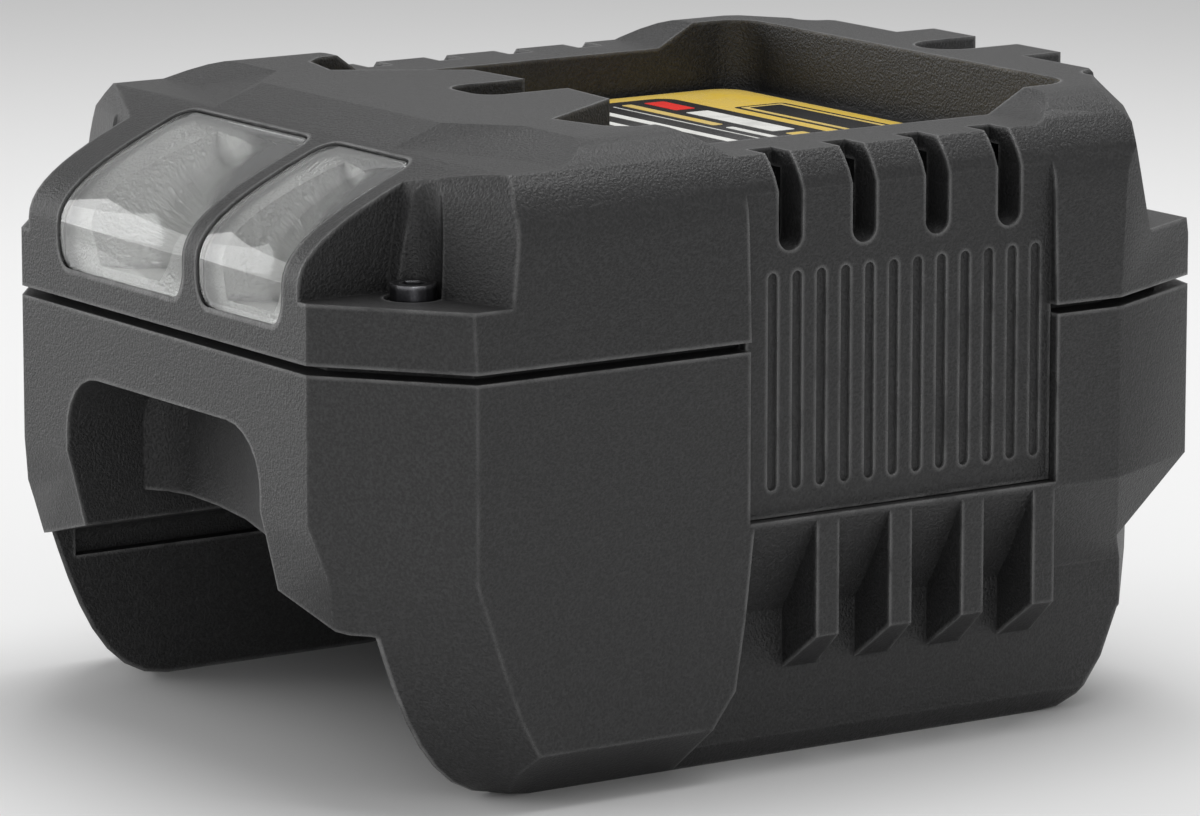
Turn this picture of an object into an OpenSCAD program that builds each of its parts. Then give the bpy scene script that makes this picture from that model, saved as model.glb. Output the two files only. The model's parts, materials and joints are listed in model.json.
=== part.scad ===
// Cordless tool battery charger: two-part housing over a slide-in battery bay.
// Front faces -Y, top faces +Z, the origin is the middle of the footprint.

/* [Housing] */
// Overall width of the housing
case_w = 108; // [106:1:112]
// Overall depth of the housing, front to back
case_d = 136; // [134:1:142]
// Overall height of the housing
case_h = 84; // [83:0.5:88]
// Height of the joint between the two halves
joint_z = 56.7; // [55.7:0.1:57.7]
// Width of the groove that shows along the joint
joint_gap = 1.2; // [0.8:0.1:1.6]
// Wall thickness of both halves
wall = 2.4; // [2:0.1:2.6]

/* [Outline] */
// Width of the flat front face
front_w = 72; // [70:0.5:76]
// Depth of the bevel at each front corner
front_bevel_d = 14; // [12:0.5:15]
// Depth of the bevel at each rear corner
rear_bevel_d = 20; // [18:0.5:22]
// Width of the bevel at each rear corner
rear_bevel_w = 9; // [8:0.5:10]
// Radius of the round shoulder between side and top
shoulder_r = 12; // [10:0.5:13]
// How far the rear face leans in from the joint to the top
rear_lean = 6.5; // [5:0.5:7]

/* [Nose] */
// Depth of the curved nose that holds the lamps
nose_d = 20.3; // [19.8:0.1:20.6]
// Drop from the top to the foot of the curved nose
nose_drop = 17.2; // [16.5:0.1:18]
// Drop from the top to the strip above the lamps
strip_drop = 2.8; // [2.4:0.1:3.2]
// Depth from the front face to the flat top
top_setback = 29.4; // [28.4:0.2:30.4]
// Depth of the strip above the lamps
strip_d = 1.2; // [0.8:0.2:2]

/* [Side band] */
// Length of the vented band on each side
band_l = 49.3; // [48.5:0.1:50]
// Distance of the middle of the band behind the middle of the housing
band_y = 12.6; // [12:0.1:13]
// How far the band is set in from the housing sides
band_inset = 1.4; // [1:0.1:1.6]
// Drop from the top to the saddle above the band
saddle_drop = 3.2; // [2.6:0.1:3.8]
// Height of the lower edge of the band
band_z = 33.7; // [33.3:0.1:34.5]
// Number of vents on each side
vent_n = 4; // [3:1:4]
// Distance from vent to vent and from fin to fin
vent_pitch = 11.75; // [11.4:0.05:12]
// Width of one vent
vent_w = 3.8; // [3:0.1:4.4]
// Height of one vent
vent_h = 12.4; // [11:0.2:13]
// Number of grooves in each band
groove_n = 12; // [8:1:12]
// Distance from groove to groove
groove_pitch = 3.86; // [3.6:0.02:3.9]
// Width of one groove
groove_w = 1.5; // [1.2:0.1:1.7]
// Depth of one groove
groove_deep = 0.4; // [0.3:0.05:0.6]
// Length of one groove
groove_h = 28.5; // [25:0.5:29.5]

/* [Label recess] */
// Width of the recess in the top
recess_w = 77; // [75:0.5:78]
// Depth of the recess below the top
recess_deep = 10; // [8.5:0.5:10.5]
// Width of the finger slot in the front of the recess
slot_w = 10.4; // [9:0.2:12]
// Thickness of the rating plate
plate_t = 0.5; // [0.4:0.1:0.8]

/* [Lamps] */
// Width of the large lamp window
lamp_wide_w = 32.4; // [31:0.2:32.6]
// Width of the small lamp window
lamp_small_w = 21.2; // [20:0.2:21.4]
// Bar between the two windows
lamp_bar = 3.2; // [2.8:0.2:3.4]
// Radius of the window corners
lamp_r = 2.8; // [2.4:0.2:3.6]
// Gap around each lens
lens_gap = 0.25; // [0.15:0.05:0.35]
// How far each lens sits below the nose surface
lens_sink = 0.2; // [0.1:0.05:0.3]

/* [Battery bay] */
// Width between the two skirts
bay_w = 82.4; // [81:0.4:84]
// Height of the bay
bay_h = 30; // [29.4:0.2:30.6]
// Width between the two rails
rail_gap = 49; // [47:0.5:51]
// Width across the two guide grooves
guide_w = 86.4; // [85.4:0.2:87]
// Height of the floor of the guide grooves
guide_z = 18.1; // [17:0.1:19]
// Height of the guide grooves
guide_h = 4.4; // [4:0.1:5]
// Width across the skirts where they stand
foot_w = 89.4; // [88.6:0.2:91]
// Width across the side panels below the band
panel_w = 92.6; // [92:0.2:94]
// Width of the finger scoop in the front
scoop_w = 49; // [45:0.5:51]
// Height of the upper edge of the finger scoop
scoop_top_z = 47.3; // [46:0.1:49]
// Depth of the finger scoop
scoop_deep = 14.8; // [13:0.2:15.2]

/* [Fasteners] */
// Shank diameter of the housing screws
case_screw_d = 3; // [2.6:0.1:3.4]
// Head diameter of the housing screws
case_head_d = 6; // [5:0.1:6.4]
// Diameter of the scallop above each housing screw
scallop_d = 7.6; // [7.2:0.1:8.2]
// Shank diameter of the board screws
board_screw_d = 2.5; // [2:0.1:3]
// Radial clearance around a screw shank
screw_fit = 0.05; // [0.03:0.01:0.1]

/* [Circuit board] */
// Width of the main board
board_w = 84; // [82:0.5:85]
// Length of the main board
board_l = 86; // [84:0.5:87]
// Thickness of every circuit board
board_t = 1.6; // [1.2:0.1:1.8]
// Height of the posts under the main board
post_h = 3.6; // [3.2:0.1:4.4]

/* [Fan] */
// Side of the square fan frame
fan_size = 34; // [32:0.5:35]
// Thickness of the fan
fan_t = 10; // [9:0.5:10.5]
// Number of fan blades
blade_n = 7; // [5:1:9]
// Clearance between blade tips and frame
tip_gap = 0.6; // [0.4:0.1:1]
// Diameter of the fan shaft
shaft_d = 2; // [1.6:0.1:2.4]
// Radial clearance of the shaft in its bearing
shaft_fit = 0.03; // [0.02:0.01:0.08]

/* [Contacts] */
// Number of contact blades
contact_n = 6; // [4:1:6]
// Distance from blade to blade
contact_pitch = 6.2; // [5.8:0.1:6.6]
// Thickness of one blade
contact_t = 0.8; // [0.6:0.1:1]

/* [Mains inlet] */
// Width of the socket in the inlet
inlet_w = 14.6; // [14:0.1:15]
// Height of the socket in the inlet
inlet_h = 7.4; // [7:0.1:7.8]
// Depth of the socket in the inlet
inlet_deep = 10; // [9:0.1:11]
// Distance between the two pins
inlet_pitch = 8.6; // [8.2:0.1:8.8]
// Diameter of one pin
inlet_pin_d = 2.4; // [2:0.1:2.6]

/* [Hidden] */
$fn = 48;

// Overrun of every cut, and the thin slabs that a hull joins
over = 1;
sliver = 0.1;

// Outline of the housing from above
half_w = case_w / 2;
front_y = -case_d / 2;
back_y = case_d / 2;
rear_round_d = 1.5;
rear_round_w = 6;
rear_corner = [half_w - rear_bevel_w, back_y - rear_round_d];
plan_right = [
    [front_w / 2, front_y],
    [half_w, front_y + front_bevel_d],
    [half_w, back_y - rear_bevel_d],
    rear_corner,
    [half_w - rear_bevel_w - rear_round_w, back_y]
];
front_bevel_turn = atan2(front_bevel_d, half_w - front_w / 2);
lower_top = joint_z - joint_gap / 2;
upper_low = joint_z + joint_gap / 2;

// Side outline: curved nose, strip above the lamps, flat top, leaning rear
strip_rise = 0.3;
knee_z = case_h - nose_drop;
strip_z = case_h - strip_drop;
nose_top_z = strip_z - strip_rise;
nose_top_y = front_y + nose_d;
strip_back_y = nose_top_y + strip_d;
top_front_y = front_y + top_setback;
top_back_y = back_y - rear_lean;
nose_steps = 12;
nose_h = nose_top_z - knee_z;
nose_low_share = 0.35;
nose_high_shares = [0.36, 0.63];
nose_frame = [
    [front_y, knee_z],
    [front_y, knee_z + nose_low_share * nose_h],
    [front_y + nose_high_shares[0] * nose_d, knee_z + nose_high_shares[1] * nose_h],
    [nose_top_y, nose_top_z]
];
side_outline = concat(
    [
        [front_y, 0],
        [back_y, 0],
        [back_y, joint_z],
        [top_back_y, case_h],
        [top_front_y, case_h],
        [strip_back_y, strip_z]
    ],
    [for (i = [nose_steps:-1:0]) curve_point(nose_frame, i / nose_steps)]
);

// Shoulder seen from the front
shoulder_draft = 0.6;
shoulder_steps = 9;
shoulder_x = half_w - shoulder_draft - shoulder_r;
shoulder_z = case_h - shoulder_r;
shoulder_right = concat(
    [
        [half_w, 0],
        [half_w, joint_z]
    ],
    arc_points([shoulder_x, shoulder_z], shoulder_r, 0, shoulder_steps)
);

// Lip of the lower half that locates the upper one
lip_t = 1.4;
lip_h = 3;
lip_root = 5;
lip_fit = 0.2;
lip_inset = wall + band_inset + lip_fit;
lip_top = upper_low + lip_h;

// Vented band, its tongue and the window that the tongue fills
band_front = band_y - band_l / 2;
band_back = band_y + band_l / 2;
saddle_z = case_h - saddle_drop;
saddle_in = 16;
saddle_x = half_w - saddle_in;
ramp_front = 4.4;
ramp_back = 6;
saddle_outline = [
    [band_front, saddle_z],
    [band_back, saddle_z],
    [band_back + ramp_back, case_h],
    [band_back + ramp_back, case_h + over],
    [band_front - ramp_front, case_h + over],
    [band_front - ramp_front, case_h]
];
tongue_t = 1.6;
tongue_fit = 0.2;
tongue_gap = 0.15;
tongue_x = half_w - band_inset;
window_x = tongue_x - tongue_t - tongue_fit;
pad_t = 2.2;
vent_shift = 0;
vent_reach = 7.1;
vent_pad_t = 5;
vent_pad_margin = 1.6;
vent_z = saddle_z - vent_h;
groove_rise = 3.5;
groove_shift = 0.8;

// Raised crown behind the lamps
crown_w = 44;
crown_bevel_w = 7.6;
crown_bevel_d = 6.8;
crown_side_d = 7;
crown_step_rise = 0.1;
crown_turn = atan2(crown_bevel_d, crown_bevel_w);
crown_flank_turn = 23;
crown_flank_run = 10.6;
crown_flank_back = 0.5;
crown_back_y = top_front_y + crown_bevel_w;
crown_low = strip_z - strip_drop;
crown_run = (top_front_y - strip_back_y) * cos(crown_turn);
crown_region = [
    [crown_w / 2 - over, strip_back_y - over],
    [half_w + over, strip_back_y - over],
    [half_w + over, crown_back_y + over],
    [crown_w / 2 - over, crown_back_y + over]
];
crown_side_outline = [
    [front_y, crown_low],
    [back_y, crown_low],
    [back_y, case_h + strip_drop],
    [crown_back_y + crown_side_d, case_h + strip_drop],
    [crown_back_y - crown_side_d, strip_z + crown_step_rise],
    [front_y, strip_z + crown_step_rise]
];
crown_corner_outline = [
    [-2 * crown_run, crown_low],
    [crown_w, crown_low],
    [crown_w, case_h + strip_drop],
    [crown_run, case_h + strip_drop]
];
crown_flank_outline = [
    [-crown_flank_run, crown_low],
    [case_d, crown_low],
    [case_d, case_h + strip_drop],
    [2 * crown_flank_run, case_h + strip_drop]
];

// Recess for the rating plate, with two tabs and a finger slot in front
recess_z = case_h - recess_deep;
recess_back_y = 52;
recess_r = 5.2;
slot_r = 3.4;
tab_y = -7.6;
tab_w = 11.2;
tab_slant = 0.9;
slot_deep = 13.3;
notch_deep = 17;
notch_w = 10.7;
notch_floor_w = 8.5;
notch_floor_d = 2;
notch_side_d = 3.2;
corner_steps = 6;
tab_end_x = slot_w / 2 + tab_w;
recess_right = concat(
    arc_points([slot_w / 2 - slot_r, tab_y - slot_deep + slot_r], slot_r, -90, corner_steps),
    [
        [slot_w / 2, tab_y],
        [tab_end_x, tab_y - tab_slant],
        [tab_end_x + notch_w, tab_y - notch_deep],
        [tab_end_x + notch_w + notch_floor_w, tab_y - notch_deep + notch_floor_d],
        [recess_w / 2, tab_y - notch_deep + notch_floor_d + notch_side_d]
    ],
    arc_points([recess_w / 2 - recess_r, recess_back_y - recess_r], recess_r, 0, corner_steps)
);
plate_r = 4;
plate_side_gap = 1.6;
plate_front_gap = 1.4;
plate_back_gap = 3.5;
plate_x = recess_w / 2 - plate_side_gap;

// Hooks and notch at the rear of the top
hook_in = 4.8;
hook_w = 9.8;
hook_t = 4;
rear_slot_deep = 6.5;
rear_slot_h = 6;

// Screw pockets and bosses
pocket_rise = 8.5;
pocket_z = joint_z + pocket_rise;
pocket_margin = 2;
pocket_x = front_w / 2 - pocket_margin;
pocket_d = 13.3;
pocket_slant = 6.7;
pocket_lean_share = 0.14;
pocket_knee_drop = 6;
pocket_top_lean = 5.4;
pocket_turn = atan2(pocket_slant, half_w + over - pocket_x);
front_pocket_section = [
    [-case_d, joint_z],
    [-pocket_lean_share * pocket_rise, joint_z],
    [pocket_lean_share * (case_h - pocket_knee_drop - pocket_z), case_h - pocket_knee_drop],
    [pocket_top_lean, case_h],
    [pocket_top_lean, case_h + over],
    [-case_d, case_h + over]
];
rear_pocket_in = 24;
rear_pocket_outline = [
    [half_w - rear_pocket_in, top_back_y],
    [half_w + over, top_back_y],
    [half_w + over, back_y + over],
    [half_w - rear_pocket_in, back_y + over]
];
rear_pocket_turn = 56;
rear_pocket_low = 4.4;
rear_pocket_knee = 8.8;
rear_pocket_high = 14;
rear_pocket_knee_drop = 4;
rear_pocket_l = 40;
rear_pocket_section = [
    [-rear_pocket_low, joint_z],
    [rear_pocket_l, joint_z],
    [rear_pocket_l, case_h + over],
    [-rear_pocket_high, case_h + over],
    [-rear_pocket_knee, case_h - rear_pocket_knee_drop]
];
front_screw_in = 3.5;
front_screw_back = 13.8;
rear_screw_in = 20;
screw_places = [
    [front_w / 2 + front_screw_in, front_y + front_screw_back],
    [half_w - rear_screw_in, top_back_y]
];
boss_r = 3.9;
head_sink = 0.6;
case_screw_l = 22;
case_head_h = 2.5;
case_hex_d = 3.4;
case_hex_deep = 1.4;
screw_seat_z = pocket_z - head_sink;
screw_tip_gap = 0.5;

// Lamps
lamp_foot = 5.4;
lamp_shift = 2;
lamp_low_z = knee_z - lamp_foot;
lamp_y = (front_y + nose_top_y) / 2;
lamp_z = (lamp_low_z + nose_top_z) / 2;
lamp_tilt = atan2(nose_top_z - lamp_low_z, nose_d);
lamp_l = norm([nose_d, nose_top_z - lamp_low_z]);
lamp_span = lamp_wide_w + lamp_bar + lamp_small_w;
lamp_large_x = lamp_shift - lamp_span / 2 + lamp_wide_w / 2;
lamp_small_x = lamp_shift + lamp_span / 2 - lamp_small_w / 2;
lamp_reach = 20;
cup_flange = 0.8;
cup_edge = 1.2;
cup_back = 6;
cup_front = 9;
cup_knee_low = 0.5;
cup_knee_high = -1;
cup_shift = -2.5;
cup_hole_w = 6.4;
cup_hole_l = 8;
cup_low_z = lip_top + cup_flange;
lamp_board_w = 58;
lamp_board_l = 17;
ear_x = 24.5;
ear_w = 8.5;
ear_l = 6;
ear_t = 3;
led_w = 5;
led_l = 6;
led_t = 0.8;

// Lower half: block in front, sloping sides and skirts behind
body_drop = 0.7;
body_z = band_z - body_drop;
floor_z = bay_h + wall;
chamfer_h = 7.2;
flank_run = 5.8;
flank_shares = [[1, 0.22], [0.4, 0.36], [0.14, 0.64], [-0.1, 1]];
flank_outline = concat(
    [
        [front_y - over, body_z],
        [front_y - over, 0],
        [band_front - flank_run, 0]
    ],
    [for (s = flank_shares) [band_front - s[0] * flank_run, s[1] * body_z]]
);
block_right = [
    [foot_w / 2, 0],
    [half_w, chamfer_h],
    [half_w, body_z]
];
chin_z = 38;
chin_d = 18;
chin_corner_z = 31.4;
chin_corner_d = 16.5;
chin_shares = [[-0.02, 1], [0.21, 0.62], [0.36, 0], [1, 0]];
chin_steps = 10;
skirt_h = 20;
skirt_back_in = 7.8;
skirt_corner_w = 6.3;
skirt_corner_d = 5.8;
skirt_chamfer_h = 3;
skirt_x = panel_w / 2;
skirt_back_y = back_y - skirt_back_in;
tail_run = 19.2;
tail_shares = [
    [1, 0], [0.79, 0.015], [0.65, 0.09], [0.46, 0.335], [0.32, 0.655], [0.17, 0.8], [0, 0.98], [0, 1]
];
skirt_right = [
    [skirt_x, band_front - flank_run],
    [skirt_x, skirt_back_y - skirt_corner_d],
    [skirt_x - skirt_corner_w, skirt_back_y]
];
skirt_side = concat(
    [
        [band_front - flank_run, skirt_h],
        [band_front - flank_run, 0]
    ],
    [for (s = tail_shares) [skirt_back_y - s[0] * tail_run, s[1] * skirt_h]]
);
skirt_section = [
    [foot_w / 2, 0],
    [skirt_x, skirt_chamfer_h],
    [skirt_x, skirt_h]
];
waist_z = 23.8;
waist_w = 2.5;
waist_right = [
    [skirt_x + waist_w, band_front - flank_run],
    [skirt_x + waist_w, skirt_back_y - skirt_corner_d - waist_w],
    [skirt_x - skirt_corner_w, skirt_back_y + sliver]
];
slope_right = [
    [half_w, band_front],
    [half_w, back_y - rear_bevel_d],
    rear_corner,
    [half_w - rear_bevel_w - rear_round_w, back_y]
];
hollow_front_y = -44;
hollow_gap = 3.6;
hollow_z = 12;

// Fins between the skirts and the band
fin_shift = 7;
fin_w = 3.6;
fin_flare = 2;
fin_root = 1.4;
fin_gap = 0.5;
fin_low_z = 17.4;
fin_foot_z = 11.9;
fin_section = [
    [skirt_x - fin_root, fin_foot_z],
    [skirt_x, fin_foot_z],
    [half_w, fin_low_z],
    [half_w, band_z - fin_gap],
    [skirt_x - fin_root, band_z - fin_gap]
];

// Battery bay and finger scoop
guide_r = 2.4;
guide_front_y = -57.4;
rail_w = 14;
rail_slope = 3.6;
bay_back_y = 51;
bay_open_z = 14;
bay_right = concat(
    [
        [bay_w / 2, -over],
        [bay_w / 2, guide_z],
        [guide_w / 2, guide_z]
    ],
    arc_points([guide_w / 2 - guide_r, guide_z + guide_h - guide_r], guide_r, 0, corner_steps),
    [
        [rail_gap / 2 + rail_w, guide_z + guide_h],
        [rail_gap / 2, guide_z + guide_h + rail_slope],
        [rail_gap / 2, bay_h]
    ]
);
scoop_r = 8;
scoop_shares = [
    [0.5, 0.15], [0.33, 0.45], [0.2, 0.66], [0, 0.86],
    [-0.2, 0.97], [-0.36, 1], [-0.44, 0.93], [-0.5, 0.8]
];
scoop_plan = concat(
    [
        [-scoop_w / 2, front_y - over],
        [scoop_w / 2, front_y - over]
    ],
    [for (s = scoop_shares) [s[0] * scoop_w, front_y + s[1] * scoop_deep]]
);
scoop_right = concat(
    [[scoop_w / 2, bay_h - over]],
    arc_points([scoop_w / 2 - scoop_r, scoop_top_z - scoop_r], scoop_r, 0, corner_steps)
);

// Main board and its posts
board_y = 9;
board_z = floor_z + post_h;
board_top = board_z + board_t;
post_r = 3;
post_in = 4;
post_places = [
    [board_w / 2 - post_in, board_y - board_l / 2 + post_in],
    [board_w / 2 - post_in, board_y + board_l / 2 - post_in]
];
board_screw_l = 4.6;
board_head_d = 5;
board_head_h = 1.8;
board_hex_d = 2.2;
board_hex_deep = 1;

// Transformer
core_x = -12;
core_y = 4;
core_d = 12;
limb_w = 8;
coil_window_w = 7;
coil_window_h = 16;
yoke_t = 4;
coil_fit = 0.15;
coil_gap = 0.4;
coil_wrap = 6;
coil_r = 3;

// Capacitors
bulk_x = 24;
bulk_places_y = [18, 34];
bulk_d = 14;
bulk_h = 24;
output_x = 30;
output_places_y = [-26, -16, -6];
output_d = 8;
output_h = 12;

// Heat sink and the transistors on it
sink_x = -33;
sink_t = 3;
sink_front_y = -26;
sink_l = 50;
sink_h = 26;
sink_fin_n = 9;
sink_fin_t = 1.5;
sink_fin_w = 5;
transistor_places_y = [-18, -6];
transistor_w = 10;
transistor_h = 15;
transistor_t = 4.6;
leg_h = 5;
leg_t = 0.8;
leg_pitch = 2.5;

// Fuse, choke and control chip
fuse_x = 20;
fuse_y = 46;
fuse_d = 5;
fuse_l = 20;
fuse_cap_d = 5.6;
fuse_cap_l = 5;
choke_x = -27;
choke_y = 34;
choke_mid_r = 6;
choke_tube_r = 3.4;
chip_x = 8;
chip_y = -22;
chip_w = 10;
chip_d = 7.5;
chip_h = 2;
chip_leg_n = 6;
chip_leg_w = 0.6;
chip_leg_l = 1.2;
chip_leg_h = 0.6;
chip_leg_pitch = 1.5;

// Contact block in the ceiling of the bay
block_fit = 0.2;
block_y = 40;
block_w = 43;
block_d = 12;
block_low_z = 19;
block_flange_w = 48;
block_flange_d = 17;
block_flange_t = 2;
contact_fit = 0.02;
prong_l = 9;
prong_low_z = 21;
prong_h = 6;
tail_front_y = 37;
tail_w = 3;
tail_rise = 0.8;

// Mains inlet in the rear wall
inlet_drop = 14.2;
inlet_z = joint_z - inlet_drop;
inlet_rim = 2.4;
inlet_body_l = 12;
inlet_flange = 2;
inlet_flange_t = 2;
inlet_fit = 0.1;
inlet_r = 3;
pin_fit = 0.02;
pin_set = 1.5;
pin_l = 14.5;
lead_d = 1.8;
lead_run = 4.5;

// Fan
fan_y = -44;
fan_z = floor_z + fan_size / 2;
fan_rim = 1;
fan_r = fan_size / 2 - fan_rim;
fan_corner_r = 3;
hub_r = 7;
hub_l = 6.8;
hub_gap = 0.6;
blade_t = 1.2;
blade_chord = 7.2;
blade_pitch_turn = 35;
strut_n = 4;
strut_w = 2.4;
strut_t = 2;
guide_post_w = 3;
guide_post_d = 1.6;
guide_post_h = 18;
fan_fit = 0.1;

function unit(v) = v / norm(v);

// Unit normal that points out of a counter-clockwise outline
function edge_normal(a, b) = [unit(b - a)[1], -unit(b - a)[0]];

function corner_shift(a, b) = (a + b) / (1 + a * b);

function inset_corner(before, here, after, d) =
    here - d * corner_shift(edge_normal(before, here), edge_normal(here, after));

function inset_outline(points, d) = [
    for (i = [0:len(points) - 1])
        inset_corner(
            points[(i + len(points) - 1) % len(points)],
            points[i],
            points[(i + 1) % len(points)],
            d
        )
];

function both_halves(right) = concat(
    right,
    [for (i = [len(right) - 1:-1:0]) [-right[i][0], right[i][1]]]
);

function curve_point(p, t) =
    pow(1 - t, 3) * p[0]
    + 3 * pow(1 - t, 2) * t * p[1]
    + 3 * (1 - t) * pow(t, 2) * p[2]
    + pow(t, 3) * p[3];

// Side view of what the sloping chin takes off below the given height
function chin_section(high, deep) = concat(
    [
        [-over, high],
        [-over, -over],
        [deep, -over]
    ],
    [
        for (i = [chin_steps:-1:0])
            curve_point([for (s = chin_shares) [s[0] * deep, s[1] * high]], i / chin_steps)
    ]
);

// Quarter of a circle, counter-clockwise from the start angle
function arc_points(middle, r, start, steps) = [
    for (i = [0:steps])
        middle + r * [cos(start + 90 * i / steps), sin(start + 90 * i / steps)]
];

function rounded_outline(low, high, r) = concat(
    arc_points([high[0] - r, low[1] + r], r, -90, corner_steps),
    arc_points([high[0] - r, high[1] - r], r, 0, corner_steps),
    arc_points([low[0] + r, high[1] - r], r, 90, corner_steps),
    arc_points([low[0] + r, low[1] + r], r, 180, corner_steps)
);

// Rounded rectangle about the origin
function rounded_middle(w, l, r) = rounded_outline([-w / 2, -l / 2], [w / 2, l / 2], r);

// Turns an outline of y and z into a prism along x
module along_x(l) {
    rotate([90, 0, 90])
        linear_extrude(l, center = true)
            children();
}

// Turns an outline of x and z into a prism along y
module along_y(l) {
    rotate([90, 0, 0])
        linear_extrude(l, center = true)
            children();
}

module both_sides() {
    children();
    mirror([1, 0, 0])
        children();
}

module block(low, high) {
    translate(low)
        cube(high - low);
}

module prism(outline, low, high) {
    translate([0, 0, low])
        linear_extrude(high - low)
            polygon(outline);
}

module plan_prism(d, low, high) {
    prism(inset_outline(both_halves(plan_right), d), low, high);
}

module upper_form(d, low) {
    intersection() {
        plan_prism(d, low, case_h + over);
        along_y(case_d + over)
            polygon(inset_outline(both_halves(shoulder_right), d));
        along_x(case_w + over)
            polygon(inset_outline(side_outline, d));
    }
}

// Lowers the top beside the crown by the given wall depth
module crown_cut(d) {
    translate([0, 0, -d])
        both_sides()
            difference() {
                prism(inset_outline(crown_region, -d), strip_z, case_h + over + d);
                along_x(case_w + case_d)
                    polygon(crown_side_outline);
                translate([crown_w / 2, top_front_y, 0])
                    rotate([0, 0, crown_turn])
                        along_x(case_w)
                            polygon(crown_corner_outline);
                translate([crown_w / 2, strip_back_y + crown_flank_back, 0])
                    rotate([0, 0, crown_flank_turn])
                        along_x(case_w)
                            polygon(crown_flank_outline);
            }
}

// Saddles and set-in sides of the band, grown by the given wall depth
module band_cut(d) {
    both_sides() {
        intersection() {
            along_x(case_w + case_d)
                polygon(inset_outline(saddle_outline, -d));
            block([saddle_x - d, band_front - case_d, 0], [case_w, case_d, case_h + case_h]);
        }
        block([tongue_x - d, band_front - d, 0], [case_w, band_back + d, case_h + over]);
    }
}

module front_pocket_cut(d) {
    both_sides() {
        intersection() {
            translate([pocket_x, front_y + pocket_d, 0])
                rotate([0, 0, pocket_turn])
                    along_x(2 * case_d)
                        polygon(inset_outline(front_pocket_section, -d));
            block([pocket_x - d, -case_d, pocket_z - d], [case_w, 0, case_h + over]);
        }
        translate([screw_places[0][0], screw_places[0][1], screw_seat_z - d])
            cylinder(h = case_h, r = scallop_d / 2 + d);
    }
}

module rear_pocket_cut(d) {
    both_sides() {
        intersection() {
            union() {
                prism(inset_outline(rear_pocket_outline, -d), 0, case_h + over);
                translate([rear_corner[0], rear_corner[1], 0])
                    rotate([0, 0, rear_pocket_turn])
                        along_y(case_w)
                            polygon(inset_outline(rear_pocket_section, -d));
            }
            block([0, 0, pocket_z - d], [case_w, case_d, case_h + over]);
        }
        translate([screw_places[1][0], screw_places[1][1], screw_seat_z - d])
            cylinder(h = case_h, r = scallop_d / 2 + d);
    }
}

module rear_slot_cut(d) {
    slot_front = top_back_y - rear_slot_deep + hook_in;
    translate([0, 0, case_h - rear_slot_h - d])
        linear_extrude(case_h)
            union() {
                translate([0, slot_front])
                    circle(r = hook_in + d);
                translate([-hook_in - d, slot_front])
                    square([2 * (hook_in + d), case_d]);
            }
}

module recess_cut(d) {
    prism(inset_outline(both_halves(recess_right), -d), recess_z - d, case_h + over);
}

module at_screws() {
    both_sides()
        for (p = screw_places)
            translate([p[0], p[1], 0])
                children();
}

module at_lamp(x) {
    translate([x, lamp_y, lamp_z])
        rotate([lamp_tilt, 0, 0])
            children();
}

module window_prism(x, w, gap) {
    at_lamp(x)
        translate([0, 0, -cup_back])
            linear_extrude(lamp_reach)
                polygon(rounded_middle(w - 2 * gap, lamp_l - 2 * gap, lamp_r - gap));
}

module lamp_ears() {
    both_sides()
        at_lamp(0)
            block(
                [ear_x, -ear_l / 2, -cup_back - board_t - ear_t],
                [ear_x + ear_w, ear_l / 2, -cup_back - board_t]
            );
}

// Thicker wall behind the vents, so that each one is a deep slot
module vent_pads() {
    both_sides()
        block(
            [tongue_x - vent_pad_t, band_front - wall, vent_z - vent_pad_margin],
            [case_w, band_back + wall, case_h]
        );
}

module upper_cavity() {
    difference() {
        upper_form(wall, joint_z - over);
        vent_pads();
        crown_cut(wall);
        band_cut(wall);
        front_pocket_cut(wall);
        rear_pocket_cut(wall);
        rear_slot_cut(wall);
        recess_cut(wall);
        at_screws()
            cylinder(h = pocket_z, r = boss_r);
        lamp_ears();
    }
}

module hooks() {
    both_sides()
        block([hook_in, top_back_y - over, case_h - hook_t], [hook_in + hook_w, back_y, case_h]);
}

module tongues() {
    both_sides()
        block([tongue_x - tongue_t, band_front, band_z], [tongue_x, band_back, upper_low + over]);
}

module vents() {
    both_sides()
        for (i = [0:vent_n - 1])
            translate([tongue_x + vent_reach, band_y + vent_shift + (i - (vent_n - 1) / 2) * vent_pitch, 0])
                along_x(4 * vent_reach)
                    union() {
                        translate([0, vent_z + vent_w / 2])
                            circle(d = vent_w);
                        translate([-vent_w / 2, vent_z + vent_w / 2])
                            square([vent_w, case_h]);
                    }
}

module grooves() {
    both_sides()
        for (i = [0:groove_n - 1])
            translate([tongue_x, band_y + groove_shift + (i - (groove_n - 1) / 2) * groove_pitch, 0])
                along_x(2 * groove_deep)
                    union() {
                        for (z = [groove_w / 2, groove_h - groove_w / 2])
                            translate([0, band_z + groove_rise + z])
                                circle(d = groove_w, $fn = 16);
                        translate([-groove_w / 2, band_z + groove_rise + groove_w / 2])
                            square([groove_w, groove_h - groove_w]);
                    }
}

module upper_housing() {
    color([0.16, 0.16, 0.17])
        difference() {
            union() {
                difference() {
                    upper_form(0, upper_low);
                    crown_cut(0);
                    band_cut(0);
                    front_pocket_cut(0);
                    rear_pocket_cut(0);
                }
                hooks();
                tongues();
            }
            upper_cavity();
            rear_slot_cut(0);
            recess_cut(0);
            vents();
            grooves();
            window_prism(lamp_large_x, lamp_wide_w, 0);
            window_prism(lamp_small_x, lamp_small_w, 0);
            at_screws()
                cylinder(h = case_h, r = case_screw_d / 2 + screw_fit);
        }
}

module front_block() {
    intersection() {
        plan_prism(0, 0, body_z);
        along_x(case_w + over)
            polygon(flank_outline);
        along_y(case_d + over)
            polygon(both_halves(block_right));
    }
}

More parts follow.
